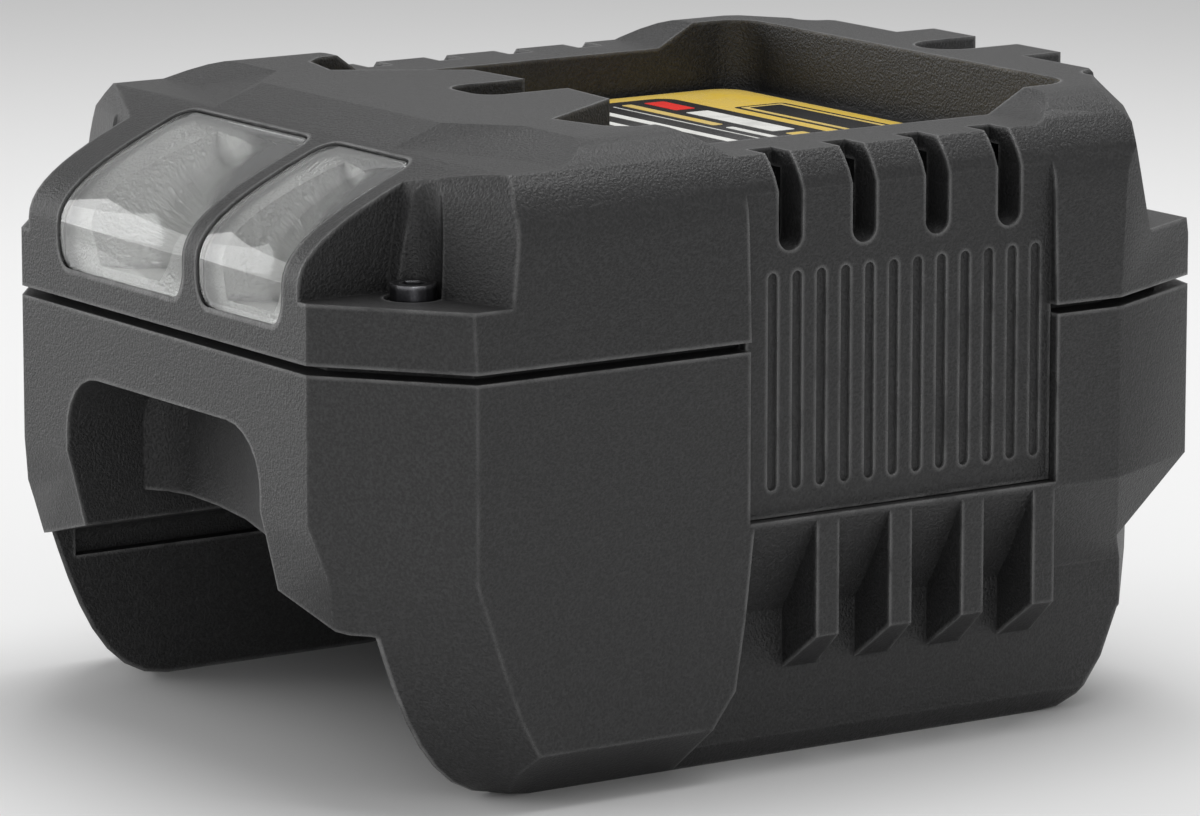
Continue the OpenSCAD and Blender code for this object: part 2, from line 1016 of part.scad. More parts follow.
module chin() {
    translate([0, front_y, 0])
        along_x(case_w + over)
            polygon(chin_section(chin_z, chin_d));
    both_sides()
        translate([front_w / 2, front_y, 0])
            rotate([0, 0, front_bevel_turn])
                along_x(case_d)
                    polygon(chin_section(chin_corner_z, chin_corner_d));
}

module rear_skirts() {
    intersection() {
        prism(both_halves(skirt_right), 0, skirt_h);
        along_x(case_w)
            polygon(skirt_side);
        along_y(case_d)
            polygon(both_halves(skirt_section));
    }
    hull() {
        prism(both_halves(slope_right), body_z - sliver, body_z);
        prism(both_halves(waist_right), waist_z - sliver, waist_z);
    }
    hull() {
        prism(both_halves(waist_right), waist_z - sliver, waist_z);
        prism(both_halves(skirt_right), skirt_h - sliver, skirt_h);
    }
}

module fins() {
    both_sides()
        intersection() {
            along_y(case_d)
                polygon(fin_section);
            for (i = [0:vent_n - 1])
                translate([0, band_y + fin_shift + (i - (vent_n - 1) / 2) * vent_pitch, 0])
                    linear_extrude(joint_z)
                        polygon([
                            [half_w, 0],
                            [skirt_x, fin_flare],
                            [skirt_x - fin_root, fin_flare],
                            [skirt_x - fin_root, -fin_w],
                            [half_w, -fin_w]
                        ]);
        }
}

module scoop(d) {
    intersection() {
        prism(inset_outline(scoop_plan, -d), bay_h - over, scoop_top_z + over + d);
        along_y(case_d + case_w)
            polygon(inset_outline(both_halves(scoop_right), -d));
    }
}

module board_posts() {
    both_sides()
        for (p = post_places)
            translate([p[0], p[1], floor_z])
                cylinder(h = post_h, r = post_r);
}

module fan_guides() {
    difference() {
        both_sides()
            block(
                [fan_size / 2 - guide_post_w / 2, fan_y - fan_t / 2 - guide_post_d, floor_z - sliver],
                [fan_size / 2 + guide_post_w, fan_y + fan_t / 2 + guide_post_d, floor_z + guide_post_h]
            );
        block(
            [-fan_size / 2 - fan_fit, fan_y - fan_t / 2 - fan_fit, floor_z],
            [fan_size / 2 + fan_fit, fan_y + fan_t / 2 + fan_fit, case_h]
        );
    }
}

module band_pads() {
    both_sides()
        block(
            [window_x - pad_t, band_front - tongue_gap - wall, floor_z - over],
            [window_x + over, band_back + tongue_gap + wall, lower_top]
        );
}

module band_windows() {
    both_sides()
        block(
            [window_x, band_front - tongue_gap, band_z - tongue_gap],
            [case_w, band_back + tongue_gap, case_h]
        );
}

module lip() {
    difference() {
        union() {
            plan_prism(wall - sliver, lower_top - lip_root, lower_top);
            plan_prism(lip_inset, lower_top - lip_root, lip_top);
        }
        plan_prism(lip_inset + lip_t, floor_z, lip_top + over);
        translate([0, 0, lower_top])
            at_screws()
                cylinder(h = case_h, r = boss_r + lip_fit);
        // The band side of the upper half needs room beside the lip
        both_sides()
            translate([0, 0, lower_top])
                block([tongue_x - wall - lip_fit, band_front - wall, 0], [case_w, band_back + wall, case_h]);
    }
}

module lower_cavity() {
    difference() {
        plan_prism(wall, floor_z, lower_top + over);
        band_pads();
        scoop(wall);
        at_screws()
            cylinder(h = lower_top, r = boss_r);
    }
    both_sides()
        block(
            [guide_w / 2 + wall, hollow_front_y, hollow_z],
            [half_w - wall, band_front - flank_run - hollow_gap, floor_z + over]
        );
}

module lower_housing() {
    color([0.13, 0.13, 0.14])
        difference() {
            union() {
                difference() {
                    union() {
                        plan_prism(0, body_z, lower_top);
                        front_block();
                        rear_skirts();
                        fins();
                    }
                    chin();
                    lower_cavity();
                }
                board_posts();
                fan_guides();
                lip();
            }
            intersection() {
                along_y(2 * case_d)
                    polygon(both_halves(bay_right));
                union() {
                    block([-bay_w / 2, front_y - over, -over], [bay_w / 2, bay_back_y, bay_h + over]);
                    block([-case_w, guide_front_y, -over], [case_w, bay_back_y, bay_h + over]);
                    block([-bay_w / 2, front_y - over, -over], [bay_w / 2, back_y + over, bay_open_z]);
                }
            }
            scoop(0);
            band_windows();
            translate([0, 0, screw_seat_z - case_screw_l - screw_tip_gap])
                at_screws()
                    cylinder(h = case_h, r = case_screw_d / 2 + screw_fit);
            translate([0, 0, board_top - board_screw_l - screw_tip_gap])
                both_sides()
                    for (p = post_places)
                        translate([p[0], p[1], 0])
                            cylinder(h = case_h, r = board_screw_d / 2 + screw_fit);
            block(
                [-block_w / 2 - block_fit, block_y - block_d / 2 - block_fit, bay_h - over],
                [block_w / 2 + block_fit, block_y + block_d / 2 + block_fit, floor_z + over]
            );
            at_inlet()
                along_y(2 * inlet_body_l)
                    polygon(inlet_outline(inlet_fit));
        }
}

module rating_plate() {
    color([0.05, 0.05, 0.05])
        prism(
            rounded_outline(
                [-plate_x, tab_y + plate_front_gap],
                [plate_x, recess_back_y - plate_back_gap],
                plate_r
            ),
            recess_z,
            recess_z + plate_t
        );
}

module lens(x, w) {
    color([0.85, 0.88, 0.9])
        intersection() {
            window_prism(x, w, lens_gap);
            difference() {
                upper_form(lens_sink, joint_z);
                upper_form(wall, joint_z - over);
            }
        }
}

module lens_large() {
    lens(lamp_large_x, lamp_wide_w);
}

module lens_small() {
    lens(lamp_small_x, lamp_small_w);
}

// Straight-sided cup: wide at the lens, narrow at the board
module cup(x, w) {
    front_w_half = w / 2 - cup_edge;
    front_l_half = lamp_l / 2 - cup_edge;
    at_lamp(x)
        intersection() {
            along_y(2 * lamp_l)
                polygon([
                    [-cup_hole_w / 2, -cup_back],
                    [cup_hole_w / 2, -cup_back],
                    [front_w_half, cup_front],
                    [-front_w_half, cup_front]
                ]);
            along_x(2 * lamp_span)
                polygon([
                    [cup_shift - cup_hole_l / 2, -cup_back],
                    [cup_shift + cup_hole_l / 2, -cup_back],
                    [front_l_half, cup_knee_high],
                    [front_l_half, cup_front],
                    [-front_l_half, cup_front],
                    [-front_l_half, cup_knee_low]
                ]);
        }
}

module reflector(x, w) {
    color([0.8, 0.8, 0.82])
        difference() {
            intersection() {
                at_lamp(x)
                    translate([0, 0, -cup_back])
                        linear_extrude(lamp_reach)
                            polygon(rounded_middle(w + 2 * cup_flange, lamp_l + 2 * cup_flange, lamp_r));
                upper_form(wall, cup_low_z);
            }
            cup(x, w);
        }
}

module reflector_large() {
    reflector(lamp_large_x, lamp_wide_w);
}

module reflector_small() {
    reflector(lamp_small_x, lamp_small_w);
}

module lamp_board() {
    color([0.1, 0.35, 0.2])
        at_lamp(lamp_shift)
            block(
                [-lamp_board_w / 2, -lamp_board_l / 2, -cup_back - board_t],
                [lamp_board_w / 2, lamp_board_l / 2, -cup_back]
            );
}

module lamp_leds() {
    color([1, 0.95, 0.8])
        for (x = [lamp_large_x, lamp_small_x])
            at_lamp(x)
                translate([0, cup_shift, -cup_back])
                    block([-led_w / 2, -led_l / 2, 0], [led_w / 2, led_l / 2, led_t]);
}

module socket_screw(shank_d, shank_l, head_d, head_h, hex_d, hex_deep) {
    difference() {
        union() {
            translate([0, 0, -shank_l])
                cylinder(h = shank_l, d = shank_d);
            cylinder(h = head_h, d = head_d);
        }
        translate([0, 0, head_h - hex_deep])
            cylinder(h = head_h, d = hex_d, $fn = 6);
    }
}

module case_screws(place) {
    color([0.7, 0.7, 0.72])
        both_sides()
            translate([place[0], place[1], screw_seat_z])
                socket_screw(
                    case_screw_d, case_screw_l, case_head_d, case_head_h, case_hex_d, case_hex_deep
                );
}

module front_screws() {
    case_screws(screw_places[0]);
}

module rear_screws() {
    case_screws(screw_places[1]);
}

module main_board() {
    color([0.1, 0.35, 0.2])
        difference() {
            block(
                [-board_w / 2, board_y - board_l / 2, board_z],
                [board_w / 2, board_y + board_l / 2, board_top]
            );
            both_sides()
                for (p = post_places)
                    translate([p[0], p[1], floor_z])
                        cylinder(h = case_h, r = board_screw_d / 2 + screw_fit);
            blade_row(contact_fit);
        }
}

module board_screws() {
    color([0.7, 0.7, 0.72])
        both_sides()
            for (p = post_places)
                translate([p[0], p[1], board_top])
                    socket_screw(
                        board_screw_d, board_screw_l, board_head_d, board_head_h, board_hex_d, board_hex_deep
                    );
}

core_half_w = limb_w / 2 + coil_window_w + yoke_t;

module transformer_core() {
    color([0.25, 0.24, 0.24])
        translate([core_x, core_y, board_top])
            difference() {
                block([-core_half_w, -core_d / 2, 0], [core_half_w, core_d / 2, coil_window_h + 2 * yoke_t]);
                both_sides()
                    block(
                        [limb_w / 2, -core_d, yoke_t],
                        [limb_w / 2 + coil_window_w, core_d, yoke_t + coil_window_h]
                    );
            }
}

module transformer_winding() {
    coil_w = limb_w + 2 * (coil_window_w - coil_gap);
    color([0.85, 0.75, 0.2])
        translate([core_x, core_y, board_top + yoke_t])
            linear_extrude(coil_window_h - coil_gap)
                difference() {
                    polygon(rounded_middle(coil_w, core_d + 2 * coil_wrap, coil_r));
                    square([limb_w + 2 * coil_fit, core_d + 2 * coil_fit], center = true);
                }
}

module bulk_capacitors() {
    color([0.1, 0.12, 0.3])
        for (y = bulk_places_y)
            translate([bulk_x, y, board_top])
                cylinder(h = bulk_h, d = bulk_d);
}

module output_capacitors() {
    color([0.1, 0.12, 0.3])
        for (y = output_places_y)
            translate([output_x, y, board_top])
                cylinder(h = output_h, d = output_d);
}

module heat_sink() {
    fin_pitch = (sink_l - sink_fin_t) / (sink_fin_n - 1);
    color([0.75, 0.75, 0.77])
        translate([sink_x - sink_t, sink_front_y, board_top]) {
            cube([sink_t, sink_l, sink_h]);
            for (i = [0:sink_fin_n - 1])
                translate([-sink_fin_w, i * fin_pitch, 0])
                    cube([sink_fin_w + sliver, sink_fin_t, sink_h]);
        }
}

module power_transistors() {
    color([0.1, 0.1, 0.1])
        for (y = transistor_places_y)
            translate([sink_x, y, board_top]) {
                block([0, -transistor_w / 2, leg_h], [transistor_t, transistor_w / 2, leg_h + transistor_h]);
                for (i = [-1:1])
                    translate([transistor_t / 2, i * leg_pitch - leg_t / 2, 0])
                        cube([leg_t, leg_t, leg_h + sliver]);
            }
}

module fuse() {
    color([0.8, 0.75, 0.65])
        translate([fuse_x, fuse_y, board_top + fuse_cap_d / 2])
            rotate([0, 90, 0]) {
                cylinder(h = fuse_l, d = fuse_d, center = true);
                for (s = [-1, 1])
                    translate([0, 0, s * (fuse_l - fuse_cap_l) / 2])
                        cylinder(h = fuse_cap_l, d = fuse_cap_d, center = true);
            }
}

module line_choke() {
    color([0.7, 0.35, 0.15])
        translate([choke_x, choke_y, board_top + choke_tube_r])
            rotate_extrude()
                translate([choke_mid_r, 0])
                    circle(r = choke_tube_r, $fn = 32);
}

module control_chip() {
    color([0.08, 0.08, 0.09])
        translate([chip_x, chip_y, board_top]) {
            block([-chip_w / 2, -chip_d / 2, 0], [chip_w / 2, chip_d / 2, chip_h]);
            for (i = [0:chip_leg_n - 1])
                translate([(i - (chip_leg_n - 1) / 2) * chip_leg_pitch, 0, 0])
                    block(
                        [-chip_leg_w / 2, -chip_d / 2 - chip_leg_l, 0],
                        [chip_leg_w / 2, chip_d / 2 + chip_leg_l, chip_leg_h]
                    );
        }
}

// Bent blades: a prong in the bay and a tail up through the board
module blade_row(fit) {
    prong_front = block_y - block_d / 2 - prong_l;
    for (i = [0:contact_n - 1])
        translate([(i - (contact_n - 1) / 2) * contact_pitch, 0, 0])
            along_x(contact_t + 2 * fit)
                polygon(inset_outline(
                    [
                        [prong_front, prong_low_z],
                        [tail_front_y + tail_w, prong_low_z],
                        [tail_front_y + tail_w, board_top + tail_rise],
                        [tail_front_y, board_top + tail_rise],
                        [tail_front_y, prong_low_z + prong_h],
                        [prong_front, prong_low_z + prong_h]
                    ],
                    -fit
                ));
}

module contact_block() {
    color([0.1, 0.1, 0.1])
        difference() {
            union() {
                block(
                    [-block_w / 2, block_y - block_d / 2, block_low_z],
                    [block_w / 2, block_y + block_d / 2, floor_z + block_flange_t]
                );
                block(
                    [-block_flange_w / 2, block_y - block_flange_d / 2, floor_z],
                    [block_flange_w / 2, block_y + block_flange_d / 2, floor_z + block_flange_t]
                );
            }
            blade_row(contact_fit);
        }
}

module contact_blades() {
    color([0.85, 0.65, 0.3])
        blade_row(0);
}

module at_inlet() {
    translate([0, back_y, inlet_z])
        children();
}

function inlet_outline(d) = rounded_middle(
    inlet_w + 2 * (inlet_rim + d),
    inlet_h + 2 * (inlet_rim + d),
    inlet_r
);

module mains_inlet() {
    color([0.12, 0.12, 0.12])
        at_inlet()
            difference() {
                union() {
                    translate([0, -inlet_body_l / 2, 0])
                        along_y(inlet_body_l)
                            polygon(inlet_outline(0));
                    translate([0, -wall - inlet_flange_t / 2, 0])
                        along_y(inlet_flange_t)
                            polygon(inlet_outline(inlet_flange));
                }
                translate([0, -inlet_deep / 2 + over / 2, 0])
                    along_y(inlet_deep + over)
                        union() {
                            for (s = [-1, 1])
                                translate([s * (inlet_w - inlet_h) / 2, 0])
                                    circle(d = inlet_h);
                            square([inlet_w - inlet_h, inlet_h - inlet_rim / 2], center = true);
                        }
                pin_pair(pin_fit);
            }
}

module pin_pair(fit) {
    for (s = [-1, 1])
        translate([s * inlet_pitch / 2, -pin_set, 0])
            rotate([90, 0, 0])
                cylinder(h = pin_l, r = inlet_pin_d / 2 + fit, $fn = 32);
}

module inlet_pins() {
    color([0.8, 0.8, 0.8])
        at_inlet()
            pin_pair(0);
}

module inlet_leads() {
    color([0.6, 0.3, 0.15])
        at_inlet()
            for (s = [-1, 1])
                translate([s * inlet_pitch / 2, -pin_set - pin_l, 0]) {
                    rotate([90, 0, 0])
                        cylinder(h = lead_run, d = lead_d, $fn = 24);
                    translate([0, -lead_run, 0])
                        sphere(d = lead_d, $fn = 24);
                    translate([0, -lead_run, board_top - inlet_z])
                        cylinder(h = inlet_z - board_top, d = lead_d, $fn = 24);
                }
}

module fan_frame() {
    color([0.1, 0.1, 0.1])
        translate([0, fan_y, fan_z]) {
            difference() {
                along_y(fan_t)
                    polygon(rounded_middle(fan_size, fan_size, fan_corner_r));
                along_y(2 * fan_t)
                    circle(r = fan_r);
            }
            translate([0, (fan_t - strut_t) / 2, 0])
                along_y(strut_t)
                    difference() {
                        union() {
                            circle(r = hub_r);
                            for (i = [0:strut_n - 1])
                                rotate(360 * i / strut_n)
                                    translate([0, -strut_w / 2])
                                        square([fan_r + fan_rim / 2, strut_w]);
                        }
                        circle(r = shaft_d / 2 + shaft_fit);
                    }
        }
}

module fan_rotor() {
    blade_l = fan_r - tip_gap;
    color([0.2, 0.2, 0.22])
        translate([0, fan_y + fan_t / 2 - strut_t - hub_gap, fan_z]) {
            translate([0, -hub_l / 2, 0])
                along_y(hub_l)
                    circle(r = hub_r);
            rotate([-90, 0, 0])
                cylinder(h = hub_gap + strut_t, d = shaft_d, $fn = 32);
            intersection() {
                for (i = [0:blade_n - 1])
                    rotate([0, 360 * i / blade_n, 0])
                        translate([blade_l / 2, -hub_l / 2, 0])
                            rotate([blade_pitch_turn, 0, 0])
                                cube([blade_l, blade_chord, blade_t], center = true);
                along_y(2 * fan_t)
                    circle(r = blade_l);
            }
        }
}

upper_housing();
lower_housing();
rating_plate();
lens_large();
lens_small();
reflector_large();
reflector_small();
lamp_board();
lamp_leds();
front_screws();
rear_screws();
main_board();
board_screws();
transformer_core();
transformer_winding();
bulk_capacitors();
output_capacitors();
heat_sink();
power_transistors();
fuse();
line_choke();
control_chip();
contact_block();
contact_blades();
mains_inlet();
inlet_pins();
inlet_leads();
fan_frame();
fan_rotor();
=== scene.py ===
"""Battery charger: moulded dark housing with two lamp windows, a label recess and vented side bands."""
import json
import math

import bmesh
import bpy
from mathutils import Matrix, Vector


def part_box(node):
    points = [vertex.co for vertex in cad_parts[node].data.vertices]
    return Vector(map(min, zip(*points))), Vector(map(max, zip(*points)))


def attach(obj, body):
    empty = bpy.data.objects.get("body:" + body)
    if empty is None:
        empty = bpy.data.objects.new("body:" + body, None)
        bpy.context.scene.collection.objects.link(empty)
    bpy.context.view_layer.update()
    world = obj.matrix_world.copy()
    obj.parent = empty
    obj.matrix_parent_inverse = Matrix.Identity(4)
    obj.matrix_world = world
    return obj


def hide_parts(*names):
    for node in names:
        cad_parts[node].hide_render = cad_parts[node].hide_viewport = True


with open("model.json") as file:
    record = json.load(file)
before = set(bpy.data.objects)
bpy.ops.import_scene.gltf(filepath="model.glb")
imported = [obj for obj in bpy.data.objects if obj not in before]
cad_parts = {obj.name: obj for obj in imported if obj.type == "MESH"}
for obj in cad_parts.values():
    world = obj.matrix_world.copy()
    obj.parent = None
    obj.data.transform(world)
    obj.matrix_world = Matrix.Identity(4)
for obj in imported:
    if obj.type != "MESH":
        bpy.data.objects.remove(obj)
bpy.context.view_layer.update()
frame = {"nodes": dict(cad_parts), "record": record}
nodes = frame["nodes"]
scene = bpy.context.scene
scene.view_settings.view_transform = "Standard"
slot_of = {row["node"]: row["material_slot"] for row in frame["record"]["subparts"]}


# Camera at the photograph's angle
def place_camera():
    azimuth, elevation = math.radians(55.84), math.radians(10.80)
    back = Vector((
        math.sin(azimuth) * math.cos(elevation),
        -math.cos(azimuth) * math.cos(elevation),
        math.sin(elevation),
    ))
    camera_data = bpy.data.cameras.new("camera")
    camera_data.lens = 213.3
    camera_data.sensor_width = 36
    camera_data.clip_start, camera_data.clip_end = 0.01, 20
    camera_data.shift_x = 0.00075
    camera_data.shift_y = -0.00133
    camera = bpy.data.objects.new("camera", camera_data)
    camera.location = (0.7839, -0.5310, 0.2198)
    camera.rotation_mode = "QUATERNION"
    camera.rotation_quaternion = (-back).to_track_quat("-Z", "Y")
    scene.collection.objects.link(camera)
    scene.camera = camera


place_camera()


# Node groups that the finishes share
def new_group(name, inputs, outputs):
    group = bpy.data.node_groups.new(name, "ShaderNodeTree")
    for label, value in inputs:
        socket = group.interface.new_socket(label, in_out="INPUT", socket_type="NodeSocketFloat")
        socket.default_value = value
    for label, kind in outputs:
        group.interface.new_socket(label, in_out="OUTPUT", socket_type=kind)
    return group, group.nodes.new("NodeGroupInput"), group.nodes.new("NodeGroupOutput")


def add_math(tree, operation, first, second=None, clamp=False):
    step = tree.nodes.new("ShaderNodeMath")
    step.operation = operation
    step.use_clamp = clamp
    for index, value in enumerate((first, second)):
        if isinstance(value, (int, float)):
            step.inputs[index].default_value = value
        elif value is not None:
            tree.links.new(value, step.inputs[index])
    return step.outputs[0]


def add_range(tree, value, low, high, to_low=0.0, to_high=1.0):
    step = tree.nodes.new("ShaderNodeMapRange")
    step.interpolation_type = "SMOOTHSTEP"
    tree.links.new(value, step.inputs["Value"])
    for label, number in (("From Min", low), ("From Max", high), ("To Min", to_low), ("To Max", to_high)):
        step.inputs[label].default_value = number
    return step.outputs["Result"]


def add_noise(tree, place, scale, detail=3.0, rough=0.55):
    noise = tree.nodes.new("ShaderNodeTexNoise")
    tree.links.new(place, noise.inputs["Vector"])
    if isinstance(scale, (int, float)):
        noise.inputs["Scale"].default_value = scale
    else:
        tree.links.new(scale, noise.inputs["Scale"])
    noise.inputs["Detail"].default_value = detail
    noise.inputs["Roughness"].default_value = rough
    return noise.outputs["Fac"]


def object_place(tree):
    return tree.nodes.new("ShaderNodeTexCoord").outputs["Object"]


# Rims lightened by wear and painted highlight, and corners darkened as painted shade, told apart by what a
# short ray meets inside and outside the surface
def make_wear_sheen_shade_group():
    group, given, result = new_group(
        "rim_sheen_and_corner_shade", [("Reach", 0.0007), ("Patchiness", 220.0)],
        [("Rim", "NodeSocketFloat"), ("Corner Shade", "NodeSocketFloat")],
    )
    outside_times = 4
    inside = group.nodes.new("ShaderNodeAmbientOcclusion")
    inside.inside = inside.only_local = True
    inside.samples = 2
    group.links.new(given.outputs["Reach"], inside.inputs["Distance"])
    outside = group.nodes.new("ShaderNodeAmbientOcclusion")
    outside.only_local = True
    outside.samples = 2
    outside_reach = add_math(group, "MULTIPLY", given.outputs["Reach"], outside_times)
    group.links.new(outside_reach, outside.inputs["Distance"])
    patches = add_noise(group, object_place(group), given.outputs["Patchiness"], 4)
    rim = add_range(group, inside.outputs["AO"], 0.95, 0.5)
    patchy = add_range(group, patches, 0.25, 0.6, to_low=0.35)
    # Rim: convex-edge mask for wear and painted highlight
    group.links.new(add_math(group, "MULTIPLY", rim, patchy), result.inputs["Rim"])
    # Corner: painted shade, stronger where a short outside ray is blocked
    group.links.new(add_range(group, outside.outputs["AO"], 1.0, 0.2), result.inputs["Corner Shade"])
    return group


# Spark-eroded mould grain: small rounded pits over a slow drift in tone
def make_grain_group():
    group, given, result = new_group(
        "mould_grain", [("Scale", 1500.0), ("Drift", 22.0)],
        [("Height", "NodeSocketFloat"), ("Tone", "NodeSocketFloat")],
    )
    fine_times, pit_share = 1.6, 0.7
    place = object_place(group)
    pits = group.nodes.new("ShaderNodeTexVoronoi")
    pits.feature = "SMOOTH_F1"
    group.links.new(place, pits.inputs["Vector"])
    group.links.new(given.outputs["Scale"], pits.inputs["Scale"])
    fine = add_noise(group, place, add_math(group, "MULTIPLY", given.outputs["Scale"], fine_times), 3)
    coarse = add_math(group, "MULTIPLY", pits.outputs["Distance"], pit_share)
    group.links.new(add_math(group, "ADD", coarse, fine), result.inputs["Height"])
    group.links.new(add_noise(group, place, given.outputs["Drift"], 4), result.inputs["Tone"])
    return group


# Dust that settles on what faces up
def make_dust_group():
    group, given, result = new_group(
        "settled_dust", [("Amount", 0.3), ("Patchiness", 60.0)], [("Dust", "NodeSocketFloat")],
    )
    shape = group.nodes.new("ShaderNodeNewGeometry")
    parts = group.nodes.new("ShaderNodeSeparateXYZ")
    group.links.new(shape.outputs["Normal"], parts.inputs["Vector"])
    up = add_range(group, parts.outputs["Z"], 0.4, 1.0)
    place = object_place(group)
    speck_scale = 2400.0
    specks = add_range(group, add_noise(group, place, speck_scale, 2), 0.56, 0.72)
    cloud = add_range(group, add_noise(group, place, given.outputs["Patchiness"], 5), 0.35, 0.75)
    lying = add_math(group, "MULTIPLY", up, cloud)
    spread = add_math(group, "MULTIPLY", lying, add_range(group, specks, 0, 1, to_low=0.4))
    dust = add_math(group, "MULTIPLY", spread, given.outputs["Amount"], True)
    group.links.new(dust, result.inputs["Dust"])
    return group


wear_sheen_shade_group = make_wear_sheen_shade_group()
grain_group = make_grain_group()
dust_group = make_dust_group()


def place_group(tree, group, **values):
    step = tree.nodes.new("ShaderNodeGroup")
    step.node_tree = group
    for label, value in values.items():
        step.inputs[label].default_value = value
    return step


def mix_colours(tree, share, first, second):
    step = tree.nodes.new("ShaderNodeMix")
    step.data_type = "RGBA"
    if isinstance(share, (int, float)):
        step.inputs["Factor"].default_value = share
    else:
        tree.links.new(share, step.inputs["Factor"])
    for label, value in (("A", first), ("B", second)):
        socket = next(s for s in step.inputs if s.name == label and s.type == "RGBA")
        if isinstance(value, tuple):
            socket.default_value = (*value, 1)
        else:
            tree.links.new(value, socket)
    return next(s for s in step.outputs if s.type == "RGBA")


def scaled(colour, share):
    return tuple(min(1.0, part * share) for part in colour)


# Specks, painted corner shade and rims lightened by wear and painted highlight, as shares of a finish's own
# colour, and the colour of dust
speck_share = 3.4
painted_shade_share = 0.25
wear_and_highlight_share = 1.9
dust_colour = (0.32, 0.31, 0.29)
# How much the tone drifts, how far that and the dust move the roughness, and how far the rim wear and
# painted highlight reach, with the painted corner shade reaching four times as far
tone_drift = 0.12
tone_rough = 0.12
dust_rough = 0.3
wear_sheen_shade_reach = 0.0006

finishes = {}


# One finish: tone drift, mould grain, rims lightened by wear and painted highlight, painted shade in
# corners, settled dust
def make_finish(name, colour, rough, metal=0.0, grain=1500.0, pit=0.00004, rim=None, rim_rough=-0.1,
                dust=0.15, corner=0.55, speck=0.15, soft=0.0, **shader_values):
    material = bpy.data.materials.new(name)
    material.use_nodes = True
    tree = material.node_tree
    shader = tree.nodes["Principled BSDF"]
    grained = place_group(tree, grain_group, Scale=grain)
    wear_sheen_and_shade = place_group(tree, wear_sheen_shade_group, Reach=wear_sheen_shade_reach)
    dusty = place_group(tree, dust_group, Amount=dust)
    darker, paler = scaled(colour, 1 - tone_drift), scaled(colour, 1 + tone_drift)
    tone = mix_colours(tree, grained.outputs["Tone"], darker, paler)
    specks = add_math(tree, "MULTIPLY", add_range(tree, grained.outputs["Height"], 0.55, 1.1), speck)
    tone = mix_colours(tree, specks, tone, scaled(colour, speck_share))
    # Painted shade: corners and creases darkened towards a quarter of the colour
    painted_corner_shade = add_math(tree, "MULTIPLY", wear_sheen_and_shade.outputs["Corner Shade"], corner)
    tone = mix_colours(tree, painted_corner_shade, tone, scaled(colour, painted_shade_share))
    # Rims lightened, partly as wear and partly as painted highlight
    tone = mix_colours(tree, wear_sheen_and_shade.outputs["Rim"], tone, rim or scaled(colour, wear_and_highlight_share))
    tone = mix_colours(tree, dusty.outputs["Dust"], tone, dust_colour)
    tree.links.new(tone, shader.inputs["Base Color"])
    roughness = rough - tone_rough / 2
    effects = (
        (grained.outputs["Tone"], tone_rough),
        (wear_sheen_and_shade.outputs["Rim"], rim_rough),
        (dusty.outputs["Dust"], dust_rough),
    )
    for source, share in effects:
        roughness = add_math(tree, "ADD", add_math(tree, "MULTIPLY", source, share), roughness, True)
    tree.links.new(roughness, shader.inputs["Roughness"])
    shader.inputs["Metallic"].default_value = metal
    bump = tree.nodes.new("ShaderNodeBump")
    bump.inputs["Strength"].default_value = 1.0
    bump.inputs["Distance"].default_value = pit
    tree.links.new(grained.outputs["Height"], bump.inputs["Height"])
    if soft:
        rounded = tree.nodes.new("ShaderNodeBevel")
        rounded.samples = 2
        rounded.inputs["Radius"].default_value = soft
        tree.links.new(rounded.outputs["Normal"], bump.inputs["Normal"])
    tree.links.new(bump.outputs["Normal"], shader.inputs["Normal"])
    for label, value in shader_values.items():
        shader.inputs[label.replace("_", " ")].default_value = value
    finishes[name] = material


# What both halves of the housing share, and what the plate and its printing share
# On the housing the pale rim colour is wear and painted highlight on the edges, and corner sets how dark
# the painted corner shade is
housing_look = {
    "grain": 2600.0, "rim": (0.17, 0.17, 0.17), "rim_rough": -0.12, "corner": 0.3, "soft": 0.0004,
    "dust": 0.02, "speck": 0.5, "Specular_IOR_Level": 0.42,
}
print_look = {"grain": 3000.0, "pit": 0.00001, "dust": 0.08}

make_finish("housing_top", (0.015, 0.015, 0.0153), 0.4, pit=0.00013, **housing_look)
make_finish("housing_base", (0.017, 0.017, 0.0173), 0.42, pit=0.00015, **housing_look)
make_finish("plate", (0.8, 0.5, 0.012), 0.36, rim=(0.8, 0.6, 0.2), **print_look)
make_finish("label_black", (0.014, 0.014, 0.015), 0.32, **print_look)
make_finish("label_pale", (0.5, 0.5, 0.48), 0.36, **print_look)
make_finish("label_red", (0.5, 0.02, 0.015), 0.36, **print_look)
make_finish("lamp_board", (0.62, 0.62, 0.6), 0.4, grain=900.0, pit=0.00002)
make_finish("circuit_board", (0.012, 0.11, 0.045), 0.34, grain=900.0, pit=0.00002)
make_finish("led", (0.8, 0.78, 0.66), 0.3, grain=2200.0, pit=0.00002)
# The screw's pale rim colour is wear and painted highlight on its edges
make_finish(
    "dark_screw", (0.05, 0.05, 0.055), 0.3, 0.9, grain=2600.0, pit=0.00001, rim=(0.4, 0.4, 0.42),
    soft=0.0003,
)
make_finish("plain_screw", (0.6, 0.6, 0.62), 0.28, 1.0, grain=2600.0, pit=0.00001, soft=0.0002)
make_finish("ferrite", (0.045, 0.043, 0.042), 0.62, grain=2600.0, pit=0.00005)
make_finish("winding_tape", (0.75, 0.52, 0.06), 0.35, grain=500.0, pit=0.00004)
make_finish("capacitor_sleeve", (0.02, 0.022, 0.05), 0.3, grain=700.0, pit=0.00002)
make_finish("heat_sink", (0.72, 0.73, 0.75), 0.36, 1.0, grain=1800.0, pit=0.00002)
make_finish("chip_case", (0.022, 0.022, 0.023), 0.55, grain=3200.0, pit=0.00003)
make_finish("fuse_body", (0.7, 0.66, 0.58), 0.4, grain=1500.0, pit=0.00002)
make_finish("copper_winding", (0.72, 0.26, 0.1), 0.3, 0.9, grain=1100.0, pit=0.00008, rim=(0.95, 0.5, 0.3))
